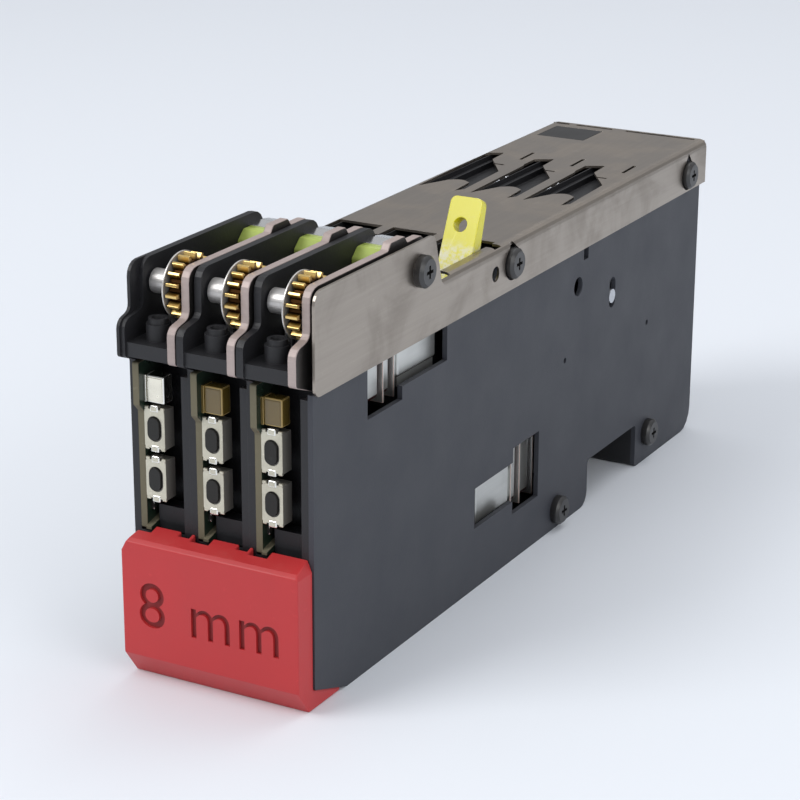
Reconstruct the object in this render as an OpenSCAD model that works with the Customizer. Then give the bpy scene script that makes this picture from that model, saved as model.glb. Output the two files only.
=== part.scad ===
// Triple-lane 8 mm tape feeder unit for a surface-mount placement machine.
// Three 12 mm lane frames stand side by side, each with its own peel gears,
// sprocket, gearmotors and keypad board. A folded steel cover, one side panel
// and a moulded front cap close them. Built from the front-left base corner:
// X across the lanes, Y from the operator's end to the rear, Z up.

/* [Lanes] */
// Distance from one lane to the next
lane_pitch = 12; // [11.8:0.1:13]
// Thickness of a lane frame's upright wall
wall_t = 1.4; // [1.2:0.1:1.6]
// Thickness of a lane frame's bottom, rear and notch rim
rim_t = 1.5; // [1.2:0.1:2]

/* [Body] */
// Length of the lane frames and the side panel
frame_len = 168; // [164:1:180]
// Height of the frames under the cover
frame_h = 66.6; // [65:0.1:70]
// Height of the fins that guard the peel gears
fin_h = 76; // [74:0.5:79]
// Length of the fins from the front edge
fin_len = 42; // [38:0.5:43]
// Thickness of the right side panel
panel_t = 1; // [0.8:0.1:1.6]
// Thickness of the cover sheet
sheet_t = 0.5; // [0.4:0.05:0.8]
// How far the cover runs past the frames at the rear
cover_over = 2; // [1:0.5:4]
// Height of the cover's skirt under its top face
skirt_h = 9.6; // [8:0.2:11]
// Outer bend radius of the cover
bend_r = 1.6; // [1.2:0.1:2]

// Thickness of the outer skin on the left frame's wall
skin_t = 0.6; // [0.4:0.1:0.8]
// How far the inner fins stand back from the skin's front edge
fin_back = 2.7; // [2:0.1:3]

/* [Base notch] */
// Start of the rail notch from the front edge
notch_y = 112; // [111:0.5:114]
// Width of the rail notch
notch_w = 25; // [20:0.5:28]
// Height of the rail notch
notch_h = 9.9; // [8:0.1:11]
// Rise of the front corner over the cap's foot
toe_h = 3.8; // [3:0.1:4.5]
// Length of that sloping front corner
toe_len = 11; // [9:0.5:13]

/* [Front] */
// How far the shelf lip stands out in front
lip_out = 4; // [3:0.1:4.5]
// Underside of the shelf lip
lip_z = 60; // [59.5:0.1:61]
// Thickness of the shelf
shelf_t = 2.6; // [2:0.1:3]
// How far the front cap stands out in front
cap_out = 5; // [4.8:0.1:6]
// Top of the front cap
cap_h = 27; // [25:0.5:27.5]
// Thickness of a keypad board
board_t = 1.3; // [1:0.1:1.6]

/* [Keypad] */
// Width of a tact switch
switch_w = 4.2; // [4:0.1:4.6]
// Height of a tact switch
switch_h = 8.3; // [7:0.1:8.5]
// Depth of a tact switch
switch_d = 2.8; // [2.4:0.1:3.2]
// Height of the middle of the lower switch
key_z = 37; // [36.5:0.1:38]
// Distance between the two switches
key_pitch = 9.4; // [9:0.1:9.8]
// Width of a key's oval cap
key_w = 2.4; // [2:0.1:2.6]
// Travel of a key
key_travel = 0.3; // [0.2:0.05:0.4]

/* [Peel gears] */
// Teeth on each peel gear
peel_teeth = 18; // [16:2:20]
// Module of the peel gears
peel_module = 0.6; // [0.55:0.01:0.62]
// Width of the peel gears
peel_w = 2.3; // [1.8:0.1:2.3]
// Radius of the peel gear axles
peel_axle_r = 1.2; // [1:0.1:1.5]

/* [Tape drive] */
// Teeth on a sprocket, one for each 4 mm tape hole
sprocket_teeth = 34; // [32:1:34]
// Distance between tape holes
tape_pitch = 4; // [3.9:0.05:4.05]
// Teeth on a sprocket's drive gear
drive_teeth = 68; // [64:4:68]
// Teeth on the motor's pinion
pinion_teeth = 20; // [18:1:22]
// Module of the drive gear and pinion
drive_module = 0.5; // [0.48:0.01:0.5]
// Radius of the sprocket axle
axle_r = 1.5; // [1.2:0.1:2]

/* [Catch lever] */
// Width of the catch lever
lever_w = 6.7; // [6:0.1:6.8]
// Thickness of the catch lever
lever_t = 1.8; // [1.6:0.1:2]
// Length from its pivot to its tip
lever_len = 18.8; // [18:0.2:21]
// Lean of the lever at rest
lever_lean = 25; // [20:1:27]
// Radius of the hole near its tip
lever_hole_r = 1.4; // [1:0.1:1.8]

/* [Fits] */
// Play between parts that move past each other
gap = 0.3; // [0.2:0.05:0.4]
// Play of a pin in the bore that turns on it
bore_play = 0.05; // [0.02:0.01:0.08]

/* [Hidden] */
$fn = 32;
lane_count = 3;
arc_steps = 4;
body_w = lane_count * lane_pitch;
panel_x = body_w + panel_t;
x_mid = panel_x / 2;
cover_len = frame_len + cover_over;
y_mid = (cover_len - cap_out) / 2;
cover_top = frame_h + sheet_t;
panel_h = cover_top - bend_r - 0.1;
panel_back = 2.2;

// Stations across one lane, from its left face
board_x = wall_t;
key_x = board_x + board_t;
gear_x = 7.6;
rim_flange_t = 0.3;
rim_flange_x = 6.9;
plate_t = 1.6;
plate_x = lane_pitch - gap - plate_t;
bar_w = 1.4;
housing_x = 6;
sprocket_t = 1;
sprocket_x = 9.6;
guide_w = 7.8;

// Peel gears: the brass gear in front, the pinch gear behind and below it
peel_r = peel_teeth * peel_module / 2;
peel_y = 6.3;
peel_z = 71.4;
peel_line = -54.8;
pinch_y = peel_y + 2 * peel_r * cos(peel_line);
pinch_z = peel_z + 2 * peel_r * sin(peel_line);

// Sprocket under the tape windows, its tips just below the cover
sprocket_r = sprocket_teeth * tape_pitch / (2 * PI);
tip_h = 1.2;
sprocket_y = 122;
sprocket_z = frame_h - 0.4 - tip_h - sprocket_r;
drive_r = drive_teeth * drive_module / 2;
pinion_r = pinion_teeth * drive_module / 2;
drive_line = 225;
pinion_y = sprocket_y + (drive_r + pinion_r) * cos(drive_line);
pinion_z = sprocket_z + (drive_r + pinion_r) * sin(drive_line);
stub_r = 1;

// Gearmotors: stations along the motor from its gearbox face
flange_t = 0.5;
coil_long = 5.4;
coil_short = 3.4;
block_gap = 1;
block_len = 14.3;
motor_w = lane_pitch - wall_t - 1.6;
peel_motor_y = 22.6;
peel_motor_z = 54.6;
peel_box_len = 13;
feed_motor_y = 91;
feed_motor_z = 15.2;
feed_box_len = 19;

// Keypad
key_h = 1.75 * key_w;
key_clear = 0.1;
switch_y = 0.2;
key_proud = 0.5;
key_depth = 1.6;
lamp_z = key_z + key_pitch + switch_h / 2 + 0.6;
lamp_h = 5;
lamp_w = 4.2;
lamp_d = 2.4;
board_step = 1.3;
board_step_z = lamp_z - 0.4;
board_d = 6;

// Screws: [y, z] of each head on the right side
screw_r = 1.5;
head_r = 3;
head_t = 1.9;
screw_len = 8;
skirt_screw = [fin_len - 5.3, fin_h - 5.5];
key_screws = [[73.7, 62.7], [frame_len - 8, 61.2]];
panel_screw_points = [[97, 4], [notch_y + notch_w + 6, 6.5]];
boss_r = 3;
bend_relief = 0.75 * (bend_r - sheet_t);

// Tie rods through all three lanes
tie_r = 2;
tie_points = [[14, 12], [56, 32], [152, 30]];

// Catch lever
lever_x = 2 * lane_pitch + wall_t + 2.6;
lever_y = 59.5;
lever_z = 59;
lever_pin_r = 1.25;
hub_r = 3;

// Cover openings, in a lane's own coordinates
cover_front = 71;
strip_fore = 6;
strip_end = cover_front - strip_fore;
strip_left = 1.5;
strip_right = 0.9;
margin_w = 2.3;
slot_w = 1.2;

// ---------------------------------------------------------------- helpers

// Puts the origin under the middle of the unit, on the surface it stands on
module place() {
    translate([-x_mid, -y_mid, 0]) children();
}

module in_lane(i) {
    translate([(i - 1) * lane_pitch, 0, 0]) children();
}

// A plate seen from the side: its outline is drawn as [y, z]
module slab(x, t) {
    translate([x, 0, 0]) rotate([90, 0, 90]) linear_extrude(t) children();
}

// A round bar or hole across the unit
module cross_bar(x, len, at, r) {
    translate([x, at[0], at[1]]) rotate([0, 90, 0]) cylinder(h = len, r = r);
}

function unit(v) = v / norm(v);
function flat(p) = [p[0], p[1]];

// Points of one corner b between a and c, rounded with radius r
function corner(a, b, c, r) =
    r <= 0 ? [b] :
    let (u = unit(a - b),
         v = unit(c - b),
         half = acos(u * v) / 2,
         mid = b + unit(u + v) * r / sin(half),
         p = b + u * r / tan(half) - mid,
         q = b + v * r / tan(half) - mid,
         from = atan2(p.y, p.x),
         turn = atan2(q.y, q.x) - from,
         sweep = turn > 180 ? turn - 360 : turn < -180 ? turn + 360 : turn)
    [for (k = [0 : arc_steps])
        mid + r * [cos(from + sweep * k / arc_steps), sin(from + sweep * k / arc_steps)]];

// Outline from corners given as [y, z, radius]
function rounded(q) =
    let (n = len(q))
    [for (k = [0 : n - 1])
        each corner(flat(q[(k + n - 1) % n]), flat(q[k]), flat(q[(k + 1) % n]), q[k][2])];

module rounded_shape(q) {
    polygon(rounded(q));
}

module oval(w, h) {
    translate([0, (h - w) / 2]) circle(d = w);
    translate([0, (w - h) / 2]) circle(d = w);
    square([w, h - w], center = true);
}

// Trapezoid-toothed gear outline with a tooth on the first axis
function gear_points(teeth, m) =
    let (r = teeth * m / 2,
         step = 360 / teeth,
         root = r - 1.2 * m,
         tip = r + 0.95 * m,
         root_half = step * 0.33,
         tip_half = step * 0.12)
    [for (k = [0 : teeth - 1])
        each [for (c = [[root, -root_half], [tip, -tip_half], [tip, tip_half], [root, root_half]])
            c[0] * [cos(k * step + c[1]), sin(k * step + c[1])]]];

// Sprocket outline with short pins instead of gear teeth
function pin_wheel_points(teeth, r, h) =
    let (step = 360 / teeth, root_half = step * 0.17, tip_half = step * 0.07)
    [for (k = [0 : teeth - 1])
        each [for (c = [[r, -root_half], [r + h, -tip_half], [r + h, tip_half], [r, root_half]])
            c[0] * [cos(k * step + c[1]), sin(k * step + c[1])]]];

// ---------------------------------------------------------------- outlines

// Side outline that the frames and the panel share below the cover
function side_outline(top_front, front_z, rear_h) = [
    [0, toe_h, 0.5],
    [0, front_z, 0],
    each top_front,
    [frame_len, rear_h, 1],
    [frame_len, 0, 5],
    [notch_y + notch_w, 0, 1],
    [notch_y + notch_w, notch_h, 1],
    [notch_y, notch_h, 1],
    [notch_y, 0, 3],
    [toe_len, 0, 0]
];

// Front profile: lip, S-bend and fin, each set back from the foremost ones
function fin_front(back, lip_back, top) = [
    [0, lip_z - 1.4, 0.6],
    [lip_back - lip_out, lip_z, 0.8],
    [lip_back - lip_out, lip_z + 6.4, 2],
    [back, lip_z + 7.4, 1.6],
    [back, top, 2.6]
];

function fin_rear(top) = [
    [fin_len, top, 3],
    [fin_len, frame_h - 2.6, 1],
    [strip_end + sheet_t + 0.2, frame_h - 2.6, 0.5],
    [strip_end + sheet_t + 0.2, frame_h, 0.5]
];

module frame_outline(back, lip_back) {
    rounded_shape(side_outline(concat(fin_front(back, lip_back, fin_h), fin_rear(fin_h)), lip_z - 4, frame_h));
}

// Space inside a lane, open to the top and behind the keypad
module lane_cavity() {
    rounded_shape([
        [-lip_out - 2, cap_h, 0],
        [-lip_out - 2, fin_h + 5, 0],
        [frame_len - rim_t, fin_h + 5, 0],
        [frame_len - rim_t, rim_t, 3],
        [notch_y + notch_w + rim_t, rim_t, 1],
        [notch_y + notch_w + rim_t, notch_h + rim_t, 1],
        [notch_y - rim_t, notch_h + rim_t, 1],
        [notch_y - rim_t, rim_t, 1.5],
        [toe_len, rim_t, 0],
        [rim_t, toe_h + rim_t, 0.5],
        [rim_t, cap_h, 0]
    ]);
}

// ---------------------------------------------------------------- lane frame

module frame_bosses() {
    for (p = concat([skirt_screw], key_screws, panel_screw_points))
        cross_bar(wall_t - 0.01, lane_pitch - wall_t + 0.01, p, boss_r);
}

module frame_bores() {
    for (p = concat([skirt_screw], key_screws, panel_screw_points))
        cross_bar(lane_pitch - screw_len, screw_len + 1, p, screw_r + bore_play);
    for (p = tie_points)
        cross_bar(-1, lane_pitch + 2, p, tie_r);
    cross_bar(-1, wall_t + 2, [sprocket_y, sprocket_z], axle_r);
    cross_bar(wall_t / 2, wall_t, [peel_y, peel_z], peel_axle_r);
}

// Shelf in front of the peel gear, with the cup that the cover tape drops into
module frame_shelf() {
    cup = [5.4, 1.4];
    translate([wall_t, -lip_out + 1.2, lip_z]) cube([plate_x - wall_t, lip_out + 4.4, shelf_t]);
    translate([cup[0], cup[1], lip_z + shelf_t - 0.01]) difference() {
        union() {
            cylinder(h = 3, r = 2.2);
            cylinder(h = 4, r = 1.8);
        }
        translate([0, 0, 1.8]) cylinder(h = 3, r = 1.2);
    }
}

module lane_frame(i) {
    color([0.14, 0.14, 0.15]) in_lane(i) difference() {
        union() {
            slab(0, skin_t) frame_outline(i == 1 ? 0 : fin_back, i == 1 ? 0.4 : 0.8);
            slab(skin_t - 0.01, wall_t - skin_t + 0.01) frame_outline(fin_back, 0.8);
            slab(0, lane_pitch) difference() {
                frame_outline(fin_back, 0.8);
                lane_cavity();
            }
            frame_shelf();
            frame_bosses();
            // Bars beside and below the keypad, and the bulkhead behind it
            translate([lane_pitch - bar_w, 0, cap_h]) cube([bar_w, 3, lip_z - cap_h - 3]);
            translate([key_x + 1.2, 2, cap_h]) cube([lane_pitch - key_x - 1.2, 3, 4.6]);
            translate([wall_t, board_d + 0.4, rim_t])
                cube([lane_pitch - wall_t, 1.2, lip_z - 1 - rim_t]);
        }
        frame_bores();
        // Room for the cover's bend along the wall's outer top edge
        translate([0, 0, frame_h]) rotate([0, 45, 0])
            translate([-bend_relief, fin_len + 3, -bend_relief]) cube([2 * bend_relief, frame_len, 2 * bend_relief]);
        if (i == lane_count)
            cross_bar(wall_t / 2, wall_t, [lever_y, lever_z], lever_pin_r);
    }
}

// ---------------------------------------------------------------- lane parts

// Steel plate that closes the right side of the peel gear
module peel_plate(i) {
    plate_back = fin_len - 1;
    color([0.6, 0.56, 0.54]) in_lane(i) difference() {
        slab(plate_x, plate_t) rounded_shape(concat(
            [[9, lip_z - 3, 1], [2, lip_z - 2, 1]],
            [for (p = fin_front(1.5, 0.8, fin_h)) if (p[1] >= lip_z) p],
            [[28, fin_h, 0.6], [29, fin_h + 1.3, 0.8], [34, fin_h + 1.3, 0.8], [35, fin_h, 0.6],
             [plate_back, fin_h, 1.5], [plate_back, frame_h - 1, 1], [11, frame_h - 10.6, 2]]));
        cross_bar(plate_x - 1, plate_t + 2, [peel_y, peel_z], peel_axle_r);
        cross_bar(plate_x - 1, plate_t + 2, skirt_screw, boss_r + bore_play);
        slab(plate_x - 1, plate_t + 2) translate([pinch_y, pinch_z]) circle(r = stub_r + gap);
        slab(plate_x - 1, plate_t + 2) translate([board_d + 1, lip_z]) square([2.4, 12], center = true);
    }
}

// Keypad board with the bent foot that hooks into the front cap
module circuit_board(i) {
    color([0.42, 0.4, 0.3]) in_lane(i) {
        slab(board_x, board_t) rounded_shape([
            [0, cap_h + 0.4, 0.3],
            [0, board_step_z - 1.4, 0.5],
            [-board_step, board_step_z, 0.5],
            [-board_step, lip_z - 1.4, 0.4],
            [board_d, lip_z - 1.4, 0.4],
            [board_d, cap_h + 0.4, 0.4]
        ]);
        slab(board_x + board_t - 0.01, 1.1) polygon([
            [-0.4, cap_h + 0.4], [-0.4, cap_h + 1], [board_d - 1.6, cap_h + 2.2], [board_d - 1.6, cap_h + 0.4]]);
    }
}

module key_seat(z) {
    translate([key_x + switch_w / 2 - 0.1, switch_y, z]) rotate([90, 0, 0]) children();
}

module switch_body(i, z) {
    tab_w = 1.7;
    color([0.72, 0.71, 0.66]) in_lane(i) difference() {
        union() {
            translate([key_x, switch_y, z - switch_h / 2 + 0.5])
                cube([switch_w, switch_d, switch_h - 1]);
            for (side = [-1, 1])
                translate([key_x + switch_w / 2 - tab_w / 2, switch_y + 0.3, z + side * (switch_h / 2 - 0.5) - 0.5])
                    cube([tab_w, 0.6, 1]);
        }
        key_seat(z) translate([0, 0, -key_depth])
            linear_extrude(key_depth + 1) oval(key_w + 2 * key_clear, key_h + 2 * key_clear);
    }
}

module button(i, z) {
    color([0.12, 0.11, 0.1]) in_lane(i) key_seat(z)
        translate([0, 0, key_travel + key_clear - key_depth])
            linear_extrude(key_depth - key_travel - key_clear + key_proud) oval(key_w, key_h);
}

module indicator(i) {
    color([0.45, 0.39, 0.2]) in_lane(i) {
        translate([key_x, 0, lamp_z]) cube([0.6, lamp_d + 0.4, lamp_h]);
        translate([key_x + 0.6, 0.1, lamp_z + 0.1]) cube([lamp_w - 0.6, lamp_d, lamp_h - 0.2]);
    }
}

// Gearmotor laid out along +Y from its gearbox face: two coils, then a block
module gearmotor(box_len, box_z, out_y, out_z, block_z, coil_z) {
    stations = [0, flange_t + coil_long, 2 * flange_t + coil_long + coil_short];
    for (s = stations)
        translate([wall_t, s, coil_z[0]]) cube([motor_w, flange_t, coil_z[1] - coil_z[0]]);
    slab(wall_t + 0.8, motor_w - 1.6)
        polygon([[0, coil_z[0] + 1], [0, coil_z[1] - 1],
                 [stations[2], coil_z[1] - 1], [stations[2], coil_z[0] + 1]]);
    translate([wall_t, stations[2] + flange_t - 0.01, -3.6])
        cube([motor_w - 0.6, block_gap + 0.02, 6]);
    difference() {
        translate([wall_t, stations[2] + flange_t + block_gap, block_z[0]])
            cube([motor_w, block_len, block_z[1] - block_z[0]]);
        translate([wall_t + motor_w - 2, stations[2] + flange_t + block_gap + block_len - 1.5, -1.2])
            cube([3, 3, 2.4]);
    }
    difference() {
        translate([wall_t, -box_len, box_z[0]])
            cube([housing_x - wall_t, box_len, box_z[1] - box_z[0]]);
        translate([wall_t + 1, out_y, out_z]) rotate([0, 90, 0])
            cylinder(h = housing_x, r = stub_r + bore_play);
    }
}

module peel_motor(i) {
    color([0.72, 0.71, 0.68]) in_lane(i) translate([0, peel_motor_y, peel_motor_z])
        gearmotor(peel_box_len, [-4.6, pinch_z + 3.2 - peel_motor_z],
                  pinch_y - peel_motor_y, pinch_z - peel_motor_z, [-5.8, 6.8], [-7, 6.8]);
}

module feed_motor(i) {
    color([0.72, 0.71, 0.68]) in_lane(i) translate([0, feed_motor_y, feed_motor_z]) mirror([0, 1, 0])
        gearmotor(feed_box_len, [-6, pinion_z + 4 - feed_motor_z],
                  feed_motor_y - pinion_y, pinion_z - feed_motor_z, [-4, 4], [-6.2, 8.2]);
}

// Brass gear that pulls the cover tape, with its thin rim on the left
module peel_gear(i) {
    color([0.78, 0.6, 0.28]) in_lane(i) difference() {
        union() {
            slab(gear_x, peel_w) translate([peel_y, peel_z]) rotate(peel_line)
                polygon(gear_points(peel_teeth, peel_module));
            cross_bar(rim_flange_x, rim_flange_t, [peel_y, peel_z], peel_r + peel_module);
            cross_bar(rim_flange_x, gear_x - rim_flange_x, [peel_y, peel_z], peel_r - 2);
            cross_bar(wall_t + gap, rim_flange_x - wall_t - gap, [peel_y, peel_z], peel_axle_r + 1);
        }
        cross_bar(0, lane_pitch, [peel_y, peel_z], peel_axle_r + bore_play);
    }
}

// Gear on the peel motor's output that pinches the tape against the brass gear
module pinch_gear(i) {
    color([0.3, 0.26, 0.2]) in_lane(i) {
        slab(gear_x, peel_w) translate([pinch_y, pinch_z])
            rotate(peel_line + 180 + 180 / peel_teeth)
            polygon(gear_points(peel_teeth, peel_module));
        cross_bar(wall_t + 1 + gap, plate_x + plate_t - wall_t - 2 * gap - 1, [pinch_y, pinch_z], stub_r);
    }
}

module feed_pinion(i) {
    face = sprocket_x - housing_x - 2 * gap;
    color([0.8, 0.8, 0.76]) in_lane(i) {
        slab(housing_x + gap, face) translate([pinion_y, pinion_z])
            rotate(drive_line + 180 + 180 / pinion_teeth)
            polygon(gear_points(pinion_teeth, drive_module));
        cross_bar(wall_t + 1 + gap, housing_x - wall_t - 1, [pinion_y, pinion_z], stub_r);
    }
}

// Pin wheel and drive gear in one moulding, free on the long axle
module sprocket(i) {
    face = sprocket_x - housing_x - 2 * gap;
    centre = [sprocket_y, sprocket_z];
    color([0.6, 0.61, 0.62]) in_lane(i) difference() {
        union() {
            slab(sprocket_x, sprocket_t) translate(centre) rotate(90)
                polygon(pin_wheel_points(sprocket_teeth, sprocket_r, tip_h));
            slab(housing_x + gap, face + gap) translate(centre) rotate(drive_line)
                polygon(gear_points(drive_teeth, drive_module));
            cross_bar(wall_t + gap, lane_pitch - wall_t - 2 * gap, centre, axle_r + 2);
        }
        cross_bar(0, lane_pitch, centre, axle_r + bore_play);
        for (a = [0 : 60 : 300])
            cross_bar(0, lane_pitch, centre + 10.5 * [cos(a), sin(a)], 3.2);
    }
}

// Track that carries the tape under the cover's windows
module tape_guide(i) {
    start = cover_front + 2;
    track_z = frame_h - 3.6;
    color([0.2, 0.2, 0.21]) in_lane(i) difference() {
        translate([wall_t, start, track_z]) cube([guide_w, frame_len - rim_t - start, 2.6]);
        translate([wall_t + 1, start - 1, track_z + 1.2]) cube([guide_w - 2, frame_len, 3]);
        for (p = key_screws)
            cross_bar(0, lane_pitch, p, boss_r + gap);
    }
}

// Moulded block behind the gears, with a finger pad, that holds the leaf spring
module spring_anchor(i) {
    foot = 33;
    color([0.62, 0.68, 0.3]) in_lane(i) difference() {
        slab(wall_t, 5.6) rounded_shape([
            [foot, frame_h + 2, 0.6], [foot, fin_h - 4, 0.8], [foot + 2, fin_h - 2.2, 0.8],
            [fin_len - 3, fin_h - 2.2, 0.8], [fin_len - 3, frame_h + 2, 0.6]]);
        cross_bar(0, lane_pitch, skirt_screw, boss_r + bore_play);
    }
}

// Leaf spring clipped over each anchor
module leaf_springs() {
    spring_t = 0.4;
    crown = fin_h - 2.2;
    heel = fin_len - 3;
    color([0.8, 0.8, 0.78]) for (i = [1 : lane_count]) in_lane(i)
        slab(wall_t, 4.4) rounded_shape([
            [heel - 2.4, crown, 0], [heel - 2.4, crown + spring_t, 0], [heel + 1, crown + spring_t + 0.3, 1],
            [heel + 5.4, crown + spring_t - 0.5, 1], [heel + 6.6, crown - 3, 0], [heel + 6.2, crown - 3.2, 0],
            [heel + 5, crown - 0.5, 0.8], [heel + 1, crown + 0.3, 0.8], [heel, crown, 0]]);
}

// ---------------------------------------------------------------- shared metal

module gear_axles() {
    color([0.5, 0.5, 0.5]) for (i = [1 : lane_count]) in_lane(i)
        cross_bar(wall_t / 2, plate_x + plate_t - wall_t / 2, [peel_y, peel_z], peel_axle_r);
}

module sprocket_axle() {
    color([0.5, 0.5, 0.5]) cross_bar(0.2, body_w + panel_t - 0.2, [sprocket_y, sprocket_z], axle_r);
}

module tie_rods() {
    color([0.25, 0.25, 0.26]) for (p = tie_points) cross_bar(0, body_w, p, tie_r);
}

module screw(x, at) {
    difference() {
        union() {
            cross_bar(x - screw_len + 1, screw_len - 1, at, screw_r);
            cross_bar(x, head_t - 0.6, at, head_r);
            translate([x + head_t - 0.6, at[0], at[1]]) rotate([0, 90, 0])
                cylinder(h = 0.6, r1 = head_r, r2 = head_r - 0.6);
        }
        for (turn = [0, 90])
            translate([x + head_t, at[0], at[1]]) rotate([turn, 0, 0]) cube([1.8, 2.4, 0.6], center = true);
    }
}

module cover_screws() {
    color([0.13, 0.13, 0.13]) {
        screw(panel_x + sheet_t, skirt_screw);
        for (p = key_screws) screw(panel_x, p);
    }
}

module panel_screws() {
    color([0.13, 0.13, 0.13]) for (p = panel_screw_points) screw(panel_x, p);
}

// ---------------------------------------------------------------- side panel

module panel_windows() {
    // Peel motor window, stepped along its lower edge
    polygon([[18.5, 48], [31, 48], [31, 50.5], [48, 50.5], [48, 62], [18.5, 62]]);
    // Feed motor window, stepped at both ends
    polygon([[60, 12.7], [76.4, 12.7], [76.4, 10], [88, 10], [88, 24], [76.4, 24], [76.4, 21], [60, 21]]);
    // Round, slotted and notched service openings
    translate([104.9, 49.8]) circle(r = 2);
    translate([sprocket_y, sprocket_z + 0.8]) oval(3, 6.6);
    translate([66.4, 62.3]) circle(r = 1.5);
    translate([99.4, 35.6]) circle(r = 0.6);
    translate([141, 32.4]) circle(r = 0.6);
    translate([108.3, frame_h - 9.8]) square([2.2, 4], center = true);
}

module side_panel() {
    color([0.25, 0.26, 0.29]) difference() {
        slab(body_w, panel_t) difference() {
            rounded_shape(side_outline(
                [[panel_back, lip_z - 2, 0], [panel_back, fin_h - 0.6, 2], [fin_len - 0.6, fin_h - 0.6, 3],
                 [fin_len + 1, panel_h, 1]],
                lip_z - 2, panel_h));
            panel_windows();
        }
        for (p = concat([skirt_screw], key_screws, panel_screw_points))
            cross_bar(body_w - 1, panel_t + 2, p, screw_r + bore_play);
        cross_bar(body_w - 1, panel_t + 2, [lever_y, lever_z], lever_pin_r);
    }
}

// ---------------------------------------------------------------- top cover

// Folded section as a hook-shaped outline: across and up
module folded_section() {
    inner = bend_r - sheet_t;
    width = panel_x + 2 * sheet_t;
    difference() {
        rounded_shape([
            [-sheet_t, cover_top - skirt_h, 0], [-sheet_t, cover_top, bend_r],
            [width - sheet_t, cover_top, bend_r], [width - sheet_t, cover_top - skirt_h, 0]]);
        rounded_shape([
            [0, cover_top - skirt_h - 1, 0], [0, frame_h, inner],
            [panel_x, frame_h, inner], [panel_x, cover_top - skirt_h - 1, 0]]);
    }
}

module cover_blank() {
    lap = 44;
    translate([0, cover_len, 0]) rotate([90, 0, 0])
        linear_extrude(cover_len - lap) folded_section();
    // Plain front part of the right skirt, with its raised guard
    slab(panel_x, sheet_t) rounded_shape([
        [0, cover_top - skirt_h, 1.6], [0, fin_h, 2.4], [fin_len, fin_h, 2],
        [fin_len + 3, cover_top - bend_r, 2], [lap + 4, cover_top - bend_r, 0],
        [lap + 4, cover_top - skirt_h, 0]]);
    // Rear flange
    translate([0, cover_len - sheet_t, cover_top - 7]) cube([panel_x, sheet_t, 7 - 0.2]);
}

// Window over one sprocket: two prongs beside a rounded tongue, wide at the rear
module tape_window() {
    polygon(rounded([
        [1.4, 102, 0], [0.7, 128, 0], [0.3, 129.5, 0], [0.3, 134.5, 0.4], [4, 136.6, 0.4],
        [4.4, 130, 0.6], [10.4, 121, 1], [11.1, 104, 0.4], [9.9, 102, 0], [9.4, 109.4, 0.6],
        [7, 111.2, 2], [4.6, 109.4, 0.6]]));
}

module lane_openings(i) {
    in_lane(i) translate([0, 0, frame_h - 1]) linear_extrude(4) {
        tape_window();
        translate([9.4, 132.6]) rotate(2) square([0.7, 7]);
        translate([6.2, 126.2]) square([2.6, 0.8]);
    }
}

module teardrop(at) {
    reach = 1.6 * head_r;
    slab(panel_x - 0.2, 2) translate(at) union() {
        circle(r = head_r + 0.35);
        polygon([[-0.75 * head_r, 0.7 * head_r], [0, reach], [0.75 * head_r, 0.7 * head_r]]);
    }
}

module top_cover() {
    label = [2.6, 155.4];
    color([0.56, 0.54, 0.51]) difference() {
        union() {
            cover_blank();
            // Strips between the lanes, turned down at their front ends
            for (i = [1 : lane_count - 1])
                translate([i * lane_pitch - strip_left, strip_end, frame_h - 2])
                    cube([strip_left + strip_right, sheet_t, 2.2]);
        }
        // Open front ends of the lanes
        for (i = [1 : lane_count]) {
            left = i == 1 ? bend_r / 2 : (i - 1) * lane_pitch + strip_right;
            right = i == lane_count ? lever_x + lever_w + 0.2 : i * lane_pitch - strip_left;
            translate([left, 0, frame_h - 3]) cube([right - left, cover_front, 6]);
        }
        for (i = [1 : lane_count - 1])
            translate([i * lane_pitch - 3, 0, frame_h - 3]) cube([6, strip_end, 6]);
        // Gaps in the bend before and beside the catch lever
        translate([body_w - margin_w, 45.4, frame_h - 1]) cube([margin_w + 1, 3.4, 3]);
        translate([body_w - margin_w, 67.2, frame_h - 1]) cube([margin_w + 0.8, 2.6, 3]);
        for (i = [1 : lane_count]) lane_openings(i);
        for (p = key_screws) teardrop(p);
        cross_bar(panel_x - 1, 3, skirt_screw, screw_r + bore_play);
        cross_bar(panel_x - 1, 3, [66.4, 62.3], 1.5);
        // Slots along the rear bend
        for (s = [[1.2, 3.2], [6.2, 9], [18.5, 16.6]])
            translate([s[0], cover_len - 1.8, frame_h - 1]) cube([s[1], 1, 3]);
        // Shallow seat for the blank label
        translate([label[0], label[1], cover_top - 0.15]) cube([11.4, 10.4, 1]);
    }
}

// ---------------------------------------------------------------- front cap

module front_cap() {
    left = 0.3;
    right = panel_x - 0.3;
    foot_len = 9;
    slope = toe_h / toe_len;
    color([0.75, 0.16, 0.17]) difference() {
        intersection() {
            slab(left, right - left) rounded_shape([
                [-cap_out, 4.9, 0.6], [-cap_out, cap_h - 0.6, 0.5], [-cap_out + 0.8, cap_h, 0.3],
                [0, cap_h + 1.2, 0], [0, toe_h, 0],
                [foot_len, toe_h - foot_len * slope, 0.2], [foot_len, 0, 0], [-1.4, 0, 0.4]]);
            // Front view: sloped upper corners
            translate([0, 20, 0]) rotate([90, 0, 0]) linear_extrude(40)
                polygon([[left, 0], [left, cap_h - 2.4], [left + 2.4, cap_h + 2],
                         [right - 1.2, cap_h + 2], [right, cap_h - 1], [right, 0]]);
        }
        // Pockets for the boards' feet
        for (i = [1 : lane_count]) translate([(i - 1) * lane_pitch, 0, 0]) {
            translate([board_x - 0.5, -1.8, cap_h - 2]) cube([board_t + 2.4, 1.8, 6]);
            if (i > 1) translate([-2, -1.2, cap_h - 1]) cube([2.2, 1.2, 6]);
        }
    }
}

// ---------------------------------------------------------------- catch lever

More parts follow.
